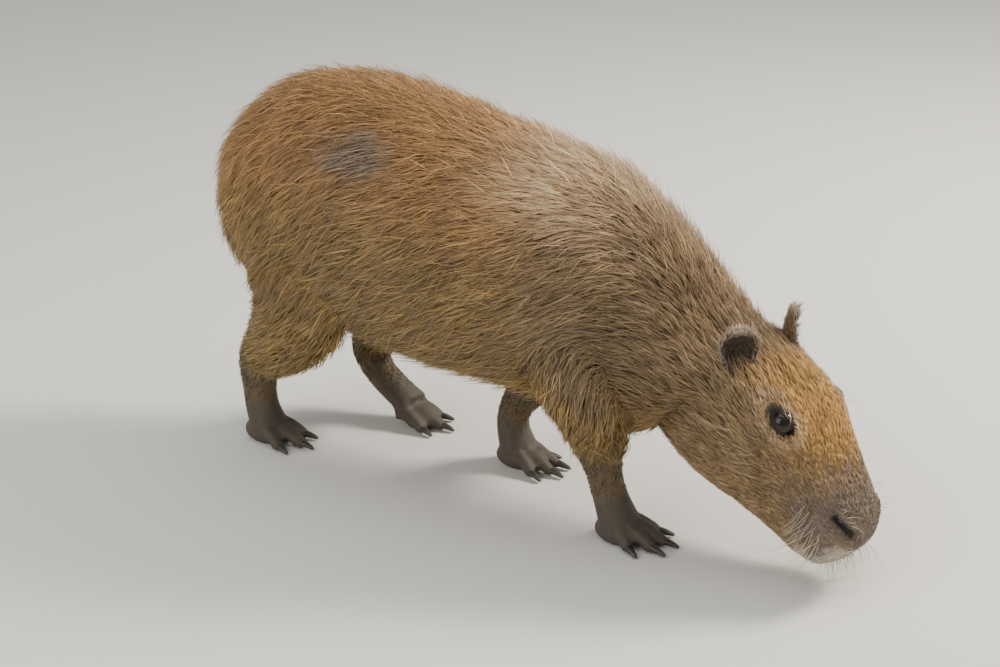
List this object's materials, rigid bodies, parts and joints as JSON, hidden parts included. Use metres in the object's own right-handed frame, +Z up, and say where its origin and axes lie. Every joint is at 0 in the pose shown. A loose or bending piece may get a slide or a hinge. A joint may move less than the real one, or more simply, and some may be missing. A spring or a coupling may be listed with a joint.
{
  "type": "capybara model",
  "caption": "Life-size still model of a capybara walking with its head lowered to the ground, with a coarse golden-brown coat, small ears and blunt clawed toes.",
  "frame": {"origin": "on the floor, at the centre of the whole animal's bounding box seen from above", "axes": "+X the way the animal walks, +Y its left side, +Z up from the floor"},
  "size_m": [1.028, 0.3196, 0.5602],
  "materials": {
    "coat": "coarse golden-brown fur",
    "short_fur": "short dark brown fur",
    "foot_skin": "dark bare skin with sparse hair",
    "claw": "worn satin horn",
    "eye": "dark glossy"
  },
  "bodies": {
    "root": {"hindquarters": "coat", "barrel": "coat", "shoulders": "coat", "neck": "coat", "head": "coat", "ear_right": "short_fur", "ear_left": "short_fur", "eye_right": "eye", "eye_left": "eye", "thigh_right": "coat", "hind_leg_right": "short_fur", "hind_foot_right": "foot_skin", "hind_claw_right_1": "claw", "hind_claw_right_2": "claw", "hind_claw_right_3": "claw", "thigh_left": "coat", "hind_leg_left": "short_fur", "hind_foot_left": "foot_skin", "hind_claw_left_1": "claw", "hind_claw_left_2": "claw", "hind_claw_left_3": "claw", "upper_arm_right": "coat", "fore_leg_right": "short_fur", "fore_foot_right": "foot_skin", "fore_claw_right_1": "claw", "fore_claw_right_2": "claw", "fore_claw_right_3": "claw", "fore_claw_right_4": "claw", "upper_arm_left": "coat", "fore_leg_left": "short_fur", "fore_foot_left": "foot_skin", "fore_claw_left_1": "claw", "fore_claw_left_2": "claw", "fore_claw_left_3": "claw", "fore_claw_left_4": "claw"}
  },
  "joints": []
}
